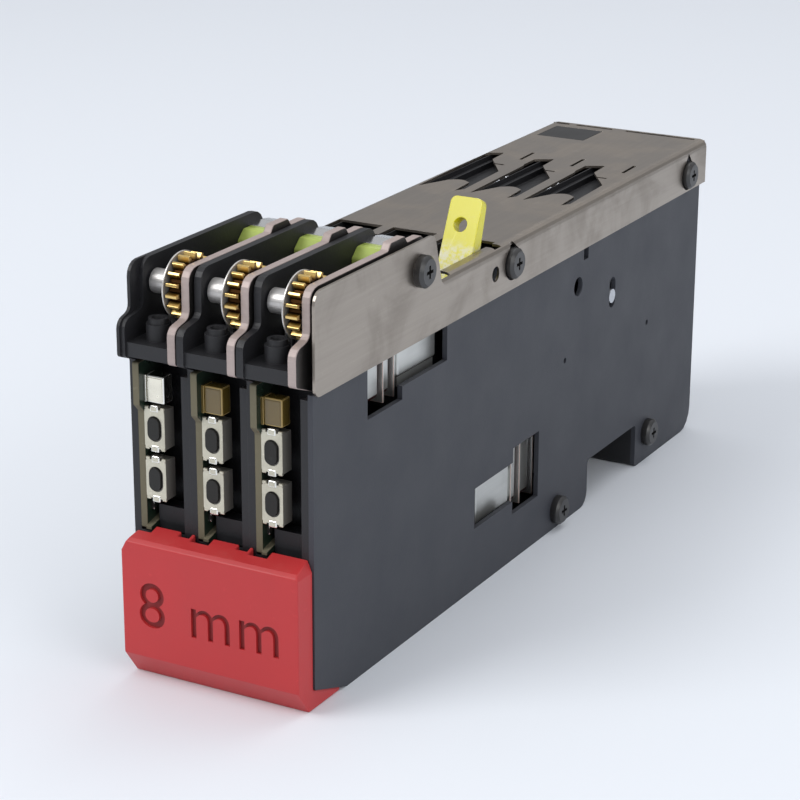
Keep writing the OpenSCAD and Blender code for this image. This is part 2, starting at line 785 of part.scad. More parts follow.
module catch_lever() {
    color([0.88, 0.85, 0.12]) translate([lever_x, lever_y, lever_z]) rotate([-lever_lean, 0, 0])
    difference() {
        union() {
            // Blade, thicker towards the pivot, with rounded upper corners
            intersection() {
                slab(0, lever_w) polygon([[-1.2, 0], [-1.2, lever_len], [lever_t - 1.2, lever_len], [2.4, 6], [2.4, 0]]);
                translate([0, 10, 0]) rotate([90, 0, 0]) linear_extrude(20) polygon(rounded([
                    [0, -1, 0], [0, lever_len, 1.2], [lever_w, lever_len, 1.2], [lever_w, -1, 0]]));
            }
            rotate([0, 90, 0]) cylinder(h = lever_w, r = hub_r);
        }
        translate([lever_w * 0.45, 5, lever_len - 5.4]) rotate([90, 0, 0])
            cylinder(h = 10, r = lever_hole_r);
        translate([-1, 0, 0]) rotate([0, 90, 0]) cylinder(h = lever_w + 2, r = lever_pin_r + bore_play);
    }
}

module lever_pin() {
    start = 2 * lane_pitch + wall_t / 2;
    color([0.5, 0.5, 0.5]) cross_bar(start, panel_x - start, [lever_y, lever_z], lever_pin_r);
}

// Helical wire: rings of points along a turn, joined into one closed tube
function wire_ring(angle, x, r, wire, sides) =
    [for (s = [0 : sides - 1])
        let (a = 360 * s / sides, rr = r + wire * cos(a))
        [x + wire * sin(a), rr * cos(angle), rr * sin(angle)]];

module wire_coil(turns, length, r, wire) {
    sides = 8;
    rings = turns * 16;
    points = [for (k = [0 : rings]) each wire_ring(360 * turns * k / rings, length * k / rings, r, wire, sides)];
    walls = [for (k = [0 : rings - 1]) for (s = [0 : sides - 1])
        [k * sides + s, k * sides + (s + 1) % sides, (k + 1) * sides + (s + 1) % sides, (k + 1) * sides + s]];
    start_cap = [for (s = [0 : sides - 1]) sides - 1 - s];
    end_cap = [for (s = [0 : sides - 1]) rings * sides + s];
    polyhedron(points, concat([start_cap], walls, [end_cap]));
}

module lever_spring() {
    wire = 0.2;
    room = lever_x - 2 * lane_pitch - wall_t;
    color([0.7, 0.7, 0.7]) translate([2 * lane_pitch + wall_t + wire, lever_y, lever_z])
        wire_coil(3, room - 2 * wire - 0.3, lever_pin_r + wire + 0.1, wire);
}

// ---------------------------------------------------------------- assembly

place() {
    top_cover();
    side_panel();
    front_cap();
    for (i = [1 : lane_count]) {
        lane_frame(i);
        peel_plate(i);
        circuit_board(i);
        switch_body(i, key_z + key_pitch);
        switch_body(i, key_z);
        button(i, key_z + key_pitch);
        button(i, key_z);
        indicator(i);
        peel_motor(i);
        feed_motor(i);
        peel_gear(i);
        pinch_gear(i);
        feed_pinion(i);
        sprocket(i);
        tape_guide(i);
        spring_anchor(i);
    }
    leaf_springs();
    gear_axles();
    sprocket_axle();
    tie_rods();
    cover_screws();
    panel_screws();
    catch_lever();
    lever_pin();
    lever_spring();
}
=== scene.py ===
"""Finishes and fine detail for a triple-lane tape feeder unit."""

import math

import bmesh
import bpy
from bpy.props import FloatProperty, FloatVectorProperty, PointerProperty, StringProperty
from mathutils import Matrix, Vector


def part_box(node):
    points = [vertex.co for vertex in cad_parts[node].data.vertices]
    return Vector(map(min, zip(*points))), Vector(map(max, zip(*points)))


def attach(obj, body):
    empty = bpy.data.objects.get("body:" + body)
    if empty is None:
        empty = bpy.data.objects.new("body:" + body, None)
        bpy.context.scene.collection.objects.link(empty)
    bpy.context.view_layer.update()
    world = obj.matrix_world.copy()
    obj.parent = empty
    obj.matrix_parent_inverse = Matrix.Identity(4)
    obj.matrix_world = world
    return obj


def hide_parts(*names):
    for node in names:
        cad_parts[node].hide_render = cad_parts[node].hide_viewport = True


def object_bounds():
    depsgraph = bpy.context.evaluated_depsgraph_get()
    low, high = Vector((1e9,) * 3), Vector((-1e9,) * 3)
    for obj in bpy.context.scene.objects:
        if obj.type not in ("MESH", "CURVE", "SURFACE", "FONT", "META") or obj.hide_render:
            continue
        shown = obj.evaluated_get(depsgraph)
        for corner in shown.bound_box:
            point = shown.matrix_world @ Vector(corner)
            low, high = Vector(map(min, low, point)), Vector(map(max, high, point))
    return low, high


bl_info = {
    "name": "Tape Feeder Finishes",
    "version": (1, 0, 0),
    "blender": (4, 5, 0),
    "location": "3D View > Sidebar > Feeder",
    "description": "Dresses a triple-lane tape feeder with its finishes, windings, key frames and marking",
    "category": "Object",
}

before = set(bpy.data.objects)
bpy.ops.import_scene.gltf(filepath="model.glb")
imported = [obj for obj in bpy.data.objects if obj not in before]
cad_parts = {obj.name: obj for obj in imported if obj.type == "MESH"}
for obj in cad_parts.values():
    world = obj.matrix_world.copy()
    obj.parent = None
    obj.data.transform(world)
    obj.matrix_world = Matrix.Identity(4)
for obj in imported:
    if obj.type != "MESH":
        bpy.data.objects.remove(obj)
cad_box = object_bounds()

MM = 0.001
LANES = (1, 2, 3)
LANE_X = {i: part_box(f"lane_frame_{i}")[0][0] for i in LANES}
FRONT_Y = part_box("side_panel")[0][1]


def colour(r, g, b):
    """Linear colour from everyday 0-255 values."""
    return tuple(((c / 255 + 0.055) / 1.055) ** 2.4 if c > 10 else c / 255 / 12.92 for c in (r, g, b))


def colour_prop(name, rgb, description):
    return FloatVectorProperty(name=name, subtype="COLOR", size=3, min=0, max=1,
                               default=colour(*rgb), description=description)


def length_prop(name, mm, description):
    return FloatProperty(name=name, unit="LENGTH", default=mm * MM, min=0, precision=5, description=description)


class FeederColours(bpy.types.PropertyGroup):
    slate: colour_prop("Slate", (56, 58, 65), "Powder coat of the side panel")
    steel: colour_prop("Stainless", (166, 157, 147), "Cover sheet")
    red: colour_prop("Red", (188, 48, 50), "Front cap")
    black: colour_prop("Black", (29, 29, 32), "Lane frames")
    rubbed: colour_prop("Rubbed edge", (66, 65, 68), "Edges of the lane frames")
    plate: colour_prop("Plate", (92, 88, 86), "Sides of the peel plates")
    # Painted highlight: a much lighter plate colour for the faces of the peel plates that face the lamp
    plate_painted_highlight: colour_prop("Plate highlight", (178, 163, 158), "Lit faces of the peel plates, painted highlight")
    board: colour_prop("Board", (104, 98, 78), "Edge of the keypad boards")
    solder_mask: colour_prop("Solder mask", (30, 44, 34), "Sides of the keypad boards")
    key_frame: colour_prop("Key frame", (205, 200, 182), "Plated frames of the switches")
    # Sides of the switches: a darker copy of the key frame colour, painted shade on the side faces
    key_side_painted_shade: colour_prop("Key side painted shade", (112, 109, 103), "Sides of the switches")
    key: colour_prop("Key", (26, 25, 22), "Oval keys")
    amber: colour_prop("Amber", (98, 80, 34), "Indicator windows")
    yellow: colour_prop("Yellow", (222, 214, 34), "Catch lever")
    anchor: colour_prop("Anchor", (178, 196, 96), "Spring anchors")
    brass: colour_prop("Brass", (232, 200, 130), "Peel gears")
    groove: colour_prop("Groove", (52, 33, 16), "Oil and shade between gear teeth")
    gear_dark: colour_prop("Dark gear", (84, 72, 60), "Pinch gears")
    bright: colour_prop("Bright steel", (200, 203, 208), "Sprockets, axles and springs")
    oxide: colour_prop("Black oxide", (34, 33, 33), "Screws")
    winding: colour_prop("Winding", (70, 20, 16), "Enamelled wire of the coils")
    flange: colour_prop("Coil flange", (205, 182, 172), "Ends of the coils")
    casing: colour_prop("Motor casing", (212, 213, 210), "Motor blocks")
    floor: colour_prop("Floor", (232, 236, 242), "Backdrop")


class FeederSizes(bpy.types.PropertyGroup):
    edge: length_prop("Edge", 0.14, "Edge radius of moulded parts")
    sheet_edge: length_prop("Sheet edge", 0.07, "Edge radius of sheet parts")
    tooth_edge: length_prop("Tooth edge", 0.07, "Edge radius of gear teeth")
    wire: length_prop("Wire", 0.16, "Pitch of the coil wire")
    marking_height: length_prop("Marking height", 8.6, "Height of the tape width marking")
    marking_depth: length_prop("Marking depth", 0.55, "Depth of the tape width marking")


class FeederStage(bpy.types.PropertyGroup):
    lens: FloatProperty(name="Lens", unit="CAMERA", default=110.7, min=20, description="Focal length")
    azimuth: FloatProperty(name="Azimuth", default=28.91, description="Camera's turn around the unit, in degrees")
    elevation: FloatProperty(name="Elevation", default=19.27, description="Camera's height angle, in degrees")
    key_power: FloatProperty(name="Key", unit="POWER", default=7.0, min=0, description="Power of the main lamp")
    fill_power: FloatProperty(name="Fill", unit="POWER", default=3.0, min=0, description="Power of the side lamp")


# ------------------------------------------------------------ node building


def new_group(name, inputs, outputs):
    """Shader node group with float, colour or vector sockets, and its input and output nodes."""
    group = bpy.data.node_groups.new(name, "ShaderNodeTree")
    kinds = {"f": "NodeSocketFloat", "c": "NodeSocketColor", "v": "NodeSocketVector"}
    for socket, kind, value in inputs:
        made = group.interface.new_socket(name=socket, in_out="INPUT", socket_type=kinds[kind])
        if value is not None:
            made.default_value = value
    for socket, kind in outputs:
        group.interface.new_socket(name=socket, in_out="OUTPUT", socket_type=kinds[kind])
    return group, group.nodes.new("NodeGroupInput"), group.nodes.new("NodeGroupOutput")


def add_node(tree, kind, settings=None, **inputs):
    """Node with settings as attributes and inputs by socket name: a socket links, anything else is its value."""
    node = tree.nodes.new(kind)
    for key, value in (settings or {}).items():
        setattr(node, key, value)
    for key, value in inputs.items():
        name = key.replace("_", " ")
        socket = node.inputs[int(key[1:])] if key[0] == "i" and key[1:].isdigit() else node.inputs[name]
        if isinstance(value, bpy.types.NodeSocket):
            tree.links.new(value, socket)
        else:
            socket.default_value = value
    return node


def maths(tree, operation, a, b=0.0, clamp=False):
    return add_node(tree, "ShaderNodeMath", {"operation": operation, "use_clamp": clamp}, i0=a, i1=b).outputs[0]


def blend_colour(tree, factor, a, b):
    node = add_node(tree, "ShaderNodeMix", {"data_type": "RGBA"})
    for index, value in ((0, factor), (6, a), (7, b)):
        if isinstance(value, bpy.types.NodeSocket):
            tree.links.new(value, node.inputs[index])
        else:
            node.inputs[index].default_value = value
    return node.outputs[2]


def soft_step(tree, value, low, high):
    return add_node(
        tree, "ShaderNodeMapRange", {"interpolation_type": "SMOOTHSTEP"},
        Value=value, From_Min=low, From_Max=high, To_Min=0.0, To_Max=1.0,
    ).outputs[0]


def moulded_group():
    """Moulded or painted skin: fine grain, faint blotches and rubbed spots."""
    group, given, out = new_group(
        "Moulded skin",
        [("Vector", "v", None), ("Colour", "c", (0.5, 0.5, 0.5, 1)), ("Rubbed", "c", (0.6, 0.6, 0.6, 1)),
         ("Grain Scale", "f", 2500.0), ("Grain Depth", "f", 0.2), ("Rub Amount", "f", 0.2),
         ("Blotch", "f", 0.12), ("Roughness", "f", 0.5)],
        [("Colour", "c"), ("Roughness", "f"), ("Normal", "v")],
    )
    at = given.outputs["Vector"]
    grain = add_node(group, "ShaderNodeTexNoise", None, Vector=at, Scale=given.outputs["Grain Scale"], Detail=3.0, Roughness=0.6)
    blotch = add_node(group, "ShaderNodeTexNoise", None, Vector=at, Scale=95.0, Detail=4.0, Roughness=0.55)
    rub = add_node(group, "ShaderNodeTexNoise", None, Vector=at, Scale=420.0, Detail=6.0, Roughness=0.7)
    shade = maths(group, "SUBTRACT", blotch.outputs[0], 0.5)
    shade = maths(group, "MULTIPLY", shade, given.outputs["Blotch"])
    shade = maths(group, "ADD", shade, 1.0)
    shaded = add_node(group, "ShaderNodeVectorMath", {"operation": "SCALE"}, i0=given.outputs["Colour"], Scale=shade)
    spots = soft_step(group, rub.outputs[0], 0.60, 0.74)
    spots = maths(group, "MULTIPLY", spots, given.outputs["Rub Amount"])
    mixed = blend_colour(group, spots, shaded.outputs[0], given.outputs["Rubbed"])
    rough = maths(group, "MULTIPLY", maths(group, "SUBTRACT", blotch.outputs[0], 0.5), 0.25)
    rough = maths(group, "ADD", rough, given.outputs["Roughness"], clamp=True)
    bump = add_node(group, "ShaderNodeBump", None, Strength=given.outputs["Grain Depth"], Distance=0.00008, Height=grain.outputs[0])
    group.links.new(mixed, out.inputs["Colour"])
    group.links.new(rough, out.inputs["Roughness"])
    group.links.new(bump.outputs[0], out.inputs["Normal"])
    return group


def brushed_group():
    """Rolled or brushed metal: fine lines along one axis, handling smudges and hairline scratches."""
    group, given, out = new_group(
        "Brushed metal",
        [("Vector", "v", None), ("Along", "v", (1600.0, 40.0, 1600.0)), ("Colour", "c", (0.6, 0.6, 0.6, 1)),
         ("Line Depth", "f", 0.15), ("Smudge", "f", 0.2), ("Scratch", "f", 0.3), ("Roughness", "f", 0.3)],
        [("Colour", "c"), ("Roughness", "f"), ("Normal", "v")],
    )
    at = given.outputs["Vector"]
    stretched = add_node(group, "ShaderNodeVectorMath", {"operation": "MULTIPLY"}, i0=at, i1=given.outputs["Along"])
    lines = add_node(group, "ShaderNodeTexNoise", None, Vector=stretched.outputs[0], Scale=1.0, Detail=3.0, Roughness=0.6)
    smudge = add_node(group, "ShaderNodeTexNoise", None, Vector=at, Scale=70.0, Detail=5.0, Roughness=0.6, Distortion=0.6)
    turned = add_node(group, "ShaderNodeVectorRotate", {"rotation_type": "EULER_XYZ"}, Vector=at, Rotation=(0.4, 0.3, 0.7))
    hair = add_node(group, "ShaderNodeVectorMath", {"operation": "MULTIPLY"}, i0=turned.outputs[0], i1=(1500.0, 60.0, 1500.0))
    hair = add_node(group, "ShaderNodeTexNoise", None, Vector=hair.outputs[0], Scale=1.0, Detail=1.0)
    scratch = soft_step(group, hair.outputs[0], 0.70, 0.76)
    scratch = maths(group, "MULTIPLY", scratch, given.outputs["Scratch"])
    cloud = soft_step(group, smudge.outputs[0], 0.42, 0.68)
    cloud = maths(group, "MULTIPLY", cloud, given.outputs["Smudge"])
    tone = maths(group, "MULTIPLY", maths(group, "SUBTRACT", lines.outputs[0], 0.5), 0.22)
    tone = maths(group, "ADD", maths(group, "SUBTRACT", 1.0, maths(group, "MULTIPLY", cloud, 0.35)), tone)
    tone = maths(group, "ADD", tone, maths(group, "MULTIPLY", scratch, 0.3))
    shaded = add_node(group, "ShaderNodeVectorMath", {"operation": "SCALE"}, i0=given.outputs["Colour"], Scale=tone)
    rough = maths(group, "ADD", given.outputs["Roughness"], maths(group, "MULTIPLY", cloud, 0.5))
    rough = maths(group, "ADD", rough, maths(group, "MULTIPLY", scratch, 0.2), clamp=True)
    bump = add_node(group, "ShaderNodeBump", None, Strength=given.outputs["Line Depth"], Distance=0.00004, Height=lines.outputs[0])
    group.links.new(shaded.outputs[0], out.inputs["Colour"])
    group.links.new(rough, out.inputs["Roughness"])
    group.links.new(bump.outputs[0], out.inputs["Normal"])
    return group


def blank_material(name, metallic=0.0, coat=0.0, specular=0.5):
    material = bpy.data.materials.new(name)
    material.use_nodes = True
    tree = material.node_tree
    shader = tree.nodes["Principled BSDF"]
    shader.inputs["Metallic"].default_value = metallic
    shader.inputs["Coat Weight"].default_value = coat
    shader.inputs["Coat Roughness"].default_value = 0.15
    shader.inputs["Specular IOR Level"].default_value = specular
    where = tree.nodes.new("ShaderNodeTexCoord").outputs["Object"]
    return material, tree, shader, where


def plug_in(tree, shader, made):
    tree.links.new(made.outputs["Colour"], shader.inputs["Base Color"])
    tree.links.new(made.outputs["Roughness"], shader.inputs["Roughness"])
    tree.links.new(made.outputs["Normal"], shader.inputs["Normal"])


def opaque(rgb):
    return (*rgb, 1.0)


def moulded(name, rgb, rubbed=None, grain=0.25, grain_scale=2500.0, rub=0.25, blotch=0.14, roughness=0.5,
            coat=0.0, specular=0.5):
    material, tree, shader, where = blank_material(name, coat=coat, specular=specular)
    made = add_node(tree, "ShaderNodeGroup", {"node_tree": shared("Moulded skin")}, Vector=where,
                    Colour=opaque(rgb), Rubbed=opaque(rubbed or [min(1, c * 1.6 + 0.03) for c in rgb]))
    for socket, value in (("Grain Scale", grain_scale), ("Grain Depth", grain), ("Rub Amount", rub),
                          ("Blotch", blotch), ("Roughness", roughness)):
        made.inputs[socket].default_value = value
    plug_in(tree, shader, made)
    return material


def brushed(name, rgb, along=(1600.0, 40.0, 1600.0), depth=0.15, smudge=0.2, scratch=0.3, roughness=0.3,
            metallic=1.0):
    material, tree, shader, where = blank_material(name, metallic=metallic)
    made = add_node(tree, "ShaderNodeGroup", {"node_tree": shared("Brushed metal")}, Vector=where, Colour=opaque(rgb))
    for socket, value in (("Along", along), ("Line Depth", depth), ("Smudge", smudge),
                          ("Scratch", scratch), ("Roughness", roughness)):
        made.inputs[socket].default_value = value
    plug_in(tree, shader, made)
    return material


def worn_foot(name, rgb, worn, foot, start):
    """Bright moulding whose foot is scuffed pale, fading out towards its tip."""
    material, tree, shader, where = blank_material(name, coat=0.25)
    height = add_node(tree, "ShaderNodeSeparateXYZ", None, Vector=where).outputs["Z"]
    fade = soft_step(tree, height, start, foot)
    patches = add_node(tree, "ShaderNodeTexNoise", None, Vector=where, Scale=900.0, Detail=5.0, Roughness=0.7)
    patches = soft_step(tree, patches.outputs[0], 0.38, 0.62)
    wear = maths(tree, "MULTIPLY", fade, patches)
    made = add_node(tree, "ShaderNodeGroup", {"node_tree": shared("Moulded skin")}, Vector=where,
                    Colour=blend_colour(tree, wear, opaque(rgb), opaque(worn)), Rubbed=opaque(worn))
    for socket, value in (("Grain Scale", 2500.0), ("Grain Depth", 0.12), ("Rub Amount", 0.12),
                          ("Blotch", 0.12), ("Roughness", 0.3)):
        made.inputs[socket].default_value = value
    plug_in(tree, shader, made)
    return material


def gear_metal(name, rgb, groove, centre, root, tip, roughness=0.28, metallic=1.0):
    """Bright tooth tips and dark roots, oil and painted shade between the teeth, set by the distance from the gear's
    own axis.
    """
    material, tree, shader, where = blank_material(name, metallic=metallic)
    moved = add_node(tree, "ShaderNodeMapping", None, Vector=where, Location=(0.0, -centre[0], -centre[1]))
    flat = add_node(tree, "ShaderNodeVectorMath", {"operation": "MULTIPLY"}, i0=moved.outputs[0], i1=(0.0, 1.0, 1.0))
    radius = add_node(tree, "ShaderNodeVectorMath", {"operation": "LENGTH"}, i0=flat.outputs[0]).outputs["Value"]
    rise = soft_step(tree, radius, root, tip)
    made = add_node(tree, "ShaderNodeGroup", {"node_tree": shared("Brushed metal")}, Vector=where,
                    Colour=blend_colour(tree, rise, opaque(groove), opaque(rgb)))
    for socket, value in (("Along", (60.0, 1500.0, 1500.0)), ("Line Depth", 0.1), ("Smudge", 0.25),
                          ("Scratch", 0.2), ("Roughness", roughness)):
        made.inputs[socket].default_value = value
    plug_in(tree, shader, made)
    return material


def wound_wire(name, rgb, pitch):
    """Enamelled wire wound side by side around a coil."""
    material, tree, shader, where = blank_material(name, coat=0.5)
    wave = add_node(tree, "ShaderNodeTexWave", {"wave_type": "BANDS", "bands_direction": "Y", "wave_profile": "SIN"},
                    Vector=where, Scale=0.314 / pitch, Distortion=0.4, Detail=1.0)
    tint = blend_colour(tree, wave.outputs["Fac"], opaque([c * 0.25 for c in rgb]), opaque(rgb))
    bump = add_node(tree, "ShaderNodeBump", None, Strength=0.6, Distance=0.0001, Height=wave.outputs["Fac"])
    tree.links.new(tint, shader.inputs["Base Color"])
    tree.links.new(bump.outputs[0], shader.inputs["Normal"])
    shader.inputs["Roughness"].default_value = 0.35
    return material


def shared(name):
    """The node group of that name, built the first time it is asked for."""
    makers = {"Moulded skin": moulded_group, "Brushed metal": brushed_group}
    return bpy.data.node_groups.get(name) or makers[name]()


def finish(name):
    """The material of that name, built the first time it is asked for."""
    made = bpy.data.materials.get(name)
    if made:
        return made
    c = bpy.context.scene.feeder_colours
    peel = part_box("gear_axles")
    axis = ((peel[0][1] + peel[1][1]) / 2, (peel[0][2] + peel[1][2]) / 2)
    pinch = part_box("pinch_gear_1")
    pinch_axis = ((pinch[0][1] + pinch[1][1]) / 2, (pinch[0][2] + pinch[1][2]) / 2)
    makers = {
        "Slate powder coat": lambda n: moulded(
            n, c.slate, grain=0.35, grain_scale=3200, rub=0.10, blotch=0.10, roughness=0.55),
        "Stainless sheet": lambda n: brushed(n, c.steel, smudge=0.3, scratch=0.35, roughness=0.33),
        "Sheared stainless": lambda n: brushed(
            n, [min(1, v * 1.25) for v in c.steel], smudge=0.1, scratch=0.5, roughness=0.3),
        "Red moulding": lambda n: moulded(n, c.red, grain=0.22, rub=0.18, blotch=0.16, roughness=0.42),
        "Red engraving": lambda n: moulded(n, [v * 0.45 for v in c.red], grain=0.2, rub=0.05, roughness=0.6),
        "Black nylon": lambda n: moulded(
            n, c.black, rubbed=c.rubbed, grain=0.4, rub=0.12, blotch=0.2, roughness=0.5),
        "Rubbed nylon": lambda n: moulded(n, c.rubbed, grain=0.3, rub=0.4, blotch=0.3, roughness=0.42),
        "Plate steel": lambda n: brushed(n, c.plate, smudge=0.3, scratch=0.3, roughness=0.42),
        # Painted highlight on the peel plates' front, top and end faces
        "Plate painted highlight": lambda n: brushed(
            n, c.plate_painted_highlight, along=(40, 1200, 1200), smudge=0.3, scratch=0.4, roughness=0.5, metallic=0.35),
        "Board edge": lambda n: moulded(
            n, c.board, grain=0.5, grain_scale=1500, rub=0.45, blotch=0.3, roughness=0.7),
        "Solder mask": lambda n: moulded(n, c.solder_mask, grain=0.15, rub=0.05, roughness=0.3, coat=0.3),
        "Key frame": lambda n: brushed(n, c.key_frame, smudge=0.35, scratch=0.4, roughness=0.33, metallic=0.75),
        "Solder": lambda n: brushed(
            n, (0.86, 0.85, 0.8), along=(300, 300, 300), depth=0.5, smudge=0.2, scratch=0.1, roughness=0.22),
        "Key side painted shade": lambda n: moulded(n, c.key_side_painted_shade, grain=0.3, rub=0.2, roughness=0.45),
        "Key rubber": lambda n: moulded(n, c.key, grain=0.5, rub=0.3, blotch=0.3, roughness=0.6),
        "Amber window": lambda n: moulded(
            n, c.amber, grain=0.08, rub=0.08, blotch=0.35, roughness=0.2, coat=0.6),
        "Amber rim": lambda n: moulded(
            n, [min(1, v * 2.6 + 0.04) for v in c.amber], grain=0.2, rub=0.3, roughness=0.35),
        # Lane 1's indicator: bright silvery cream metal, a painted highlight on the same window that is amber in
        # lanes 2 and 3
        "Painted highlight window": lambda n: brushed(
            n, (0.82, 0.78, 0.66), along=(700, 500, 600), depth=0.9, smudge=0.3, scratch=0.5, roughness=0.18),
        "Yellow moulding": lambda n: worn_foot(n, c.yellow, colour(226, 222, 186), 66.6 * MM, 69.4 * MM),
        "Anchor moulding": lambda n: moulded(n, c.anchor, grain=0.2, rub=0.2, blotch=0.2, roughness=0.42),
        "Brass gear": lambda n: gear_metal(n, c.brass, c.groove, axis, 4.75 * MM, 5.65 * MM),
        "Dark gear": lambda n: gear_metal(
            n, c.gear_dark, c.groove, pinch_axis, 4.75 * MM, 5.65 * MM, roughness=0.4, metallic=0.6),
        "Gear rim": lambda n: brushed(
            n, (0.62, 0.6, 0.58), along=(300, 900, 900), smudge=0.3, scratch=0.4, roughness=0.35, metallic=0.7),
        "Bright steel": lambda n: brushed(
            n, c.bright, along=(900, 900, 60), smudge=0.25, scratch=0.3, roughness=0.28),
        "Spring steel": lambda n: brushed(
            n, (0.92, 0.92, 0.9), along=(700, 60, 700), smudge=0.15, scratch=0.2, roughness=0.14),
        "Black oxide": lambda n: moulded(
            n, c.oxide, grain=0.3, rub=0.35, blotch=0.25, roughness=0.38, specular=0.8),
        "Guide moulding": lambda n: moulded(n, [v * 0.9 for v in c.black], grain=0.3, rub=0.2, roughness=0.45),
        "Winding": lambda n: wound_wire(n, c.winding, bpy.context.scene.feeder_sizes.wire),
        "Coil flange": lambda n: moulded(n, c.flange, grain=0.15, rub=0.1, roughness=0.35),
        "Motor casing": lambda n: brushed(
            n, c.casing, along=(900, 50, 900), smudge=0.2, scratch=0.3, roughness=0.36, metallic=0.85),
        "Gearbox casing": lambda n: moulded(n, [v * 1.5 for v in c.black], grain=0.3, roughness=0.5),
        "Blank label": lambda n: moulded(n, c.oxide, grain=0.1, rub=0.25, blotch=0.3, roughness=0.45),
        "Label print": lambda n: moulded(n, (0.5, 0.5, 0.5), grain=0.1, rub=0.3, roughness=0.5),
    }
    return makers[name](name)


# ------------------------------------------------------------ mesh building


def place(lane, x, y, z):
    """Point from millimetres across a lane, back from the panel's front edge and up from the base."""
    return Vector((LANE_X[lane] + x * MM, FRONT_Y + y * MM, z * MM))


def add_block(bm, low, high, edge=0.0, material=0, segments=2):
    """Rounded block between two corners."""
    size = high - low
    made = bmesh.ops.create_cube(bm, size=1.0, matrix=Matrix.Translation((low + high) / 2) @ Matrix.Diagonal((*size, 1)))
    faces = {f for v in made["verts"] for f in v.link_faces}
    if edge:
        edges = list({e for v in made["verts"] for e in v.link_edges})
        cut = bmesh.ops.bevel(bm, geom=edges, offset=edge, offset_type="OFFSET", segments=segments,
                              profile=0.5, affect="EDGES", clamp_overlap=True, material=-1)
        faces = {f for f in faces if f.is_valid} | set(cut["faces"])
    for f in faces:
        f.material_index = material
    return faces


def add_outline(bm, points, depth, material=0):
    """Closed flat outline, pushed out by the depth vector."""
    verts = [bm.verts.new(p) for p in points]
    face = bm.faces.new(verts)
    pushed = bmesh.ops.extrude_face_region(bm, geom=[face])
    moved = [g for g in pushed["geom"] if isinstance(g, bmesh.types.BMVert)]
    bmesh.ops.translate(bm, verts=moved, vec=depth)
    for f in {f for v in verts + moved for f in v.link_faces}:
        f.material_index = material
    return verts + moved


def to_piece(name, bm, materials, body, stands_for=()):
    """Turns a bmesh into a finished piece that rides on a body."""
    bmesh.ops.recalc_face_normals(bm, faces=bm.faces)
    mesh = bpy.data.meshes.new(name)
    bm.to_mesh(mesh)
    bm.free()
    return keep_piece(name, mesh, materials, body, stands_for)


def keep_piece(name, mesh, materials, body, stands_for=()):
    for material in materials:
        mesh.materials.append(finish(material))
    piece = bpy.data.objects.new(name, mesh)
    bpy.context.scene.collection.objects.link(piece)
    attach(piece, body)
    if stands_for:
        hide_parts(*stands_for)
    return piece


def merged_copy(node):
    """Clean bmesh of a part, with its triangles joined back into flat faces."""
    bm = bmesh.new()
    bm.from_mesh(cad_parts[node].data)
    bmesh.ops.remove_doubles(bm, verts=bm.verts, dist=1e-6)
    bmesh.ops.dissolve_limit(bm, angle_limit=math.radians(0.5), verts=bm.verts, edges=bm.edges, delimit=set())
    for f in bm.faces:
        f.smooth = False
        f.material_index = 0
    return bm


def sharp_edges(bm, degrees=30):
    return [e for e in bm.edges if len(e.link_faces) == 2 and e.calc_face_angle(0) > math.radians(degrees)]


def ease_edges(bm, width, material=-1, segments=2, degrees=30):
    bmesh.ops.bevel(bm, geom=sharp_edges(bm, degrees), offset=width, offset_type="OFFSET", segments=segments,
                    profile=0.5, affect="EDGES", clamp_overlap=False, material=material)


def dress_node(node, material, edge_width=0.0, edge_material=None, segments=2):
    """Gives a part its finish, with eased edges where a width is given."""
    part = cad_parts[node]
    part.data.materials.clear()
    part.data.materials.append(finish(material))
    if edge_material:
        part.data.materials.append(finish(edge_material))
    if edge_width:
        weld = part.modifiers.new("Join", "WELD")
        weld.merge_threshold = 1e-6
        ease = part.modifiers.new("Ease edges", "BEVEL")
        ease.width = edge_width
        ease.segments = segments
        ease.limit_method = "ANGLE"
        ease.angle_limit = math.radians(32)
        ease.harden_normals = False
        ease.use_clamp_overlap = True
        if edge_material:
            ease.material = 1


# ------------------------------------------------------------ operators


class FeederOperator:
    bl_options = {"REGISTER", "UNDO"}

    @property
    def sizes(self):
        return bpy.context.scene.feeder_sizes


class FEEDER_OT_frames(FeederOperator, bpy.types.Operator):
    """Finish the lane frames, panel, cover and lever"""

    bl_idname = "feeder.frames"
    bl_label = "Frames and Covers"

    def execute(self, context):
        s = self.sizes
        for i in LANES:
            dress_node(f"lane_frame_{i}", "Black nylon", s.edge, "Rubbed nylon")
            dress_node(f"tape_guide_{i}", "Guide moulding", s.edge)
            dress_node(f"spring_anchor_{i}", "Anchor moulding", s.edge)
        dress_node("side_panel", "Slate powder coat", s.sheet_edge)
        dress_node("top_cover", "Stainless sheet", s.sheet_edge, "Sheared stainless")
        dress_node("catch_lever", "Yellow moulding", 2 * s.edge, segments=3)
        return {"FINISHED"}


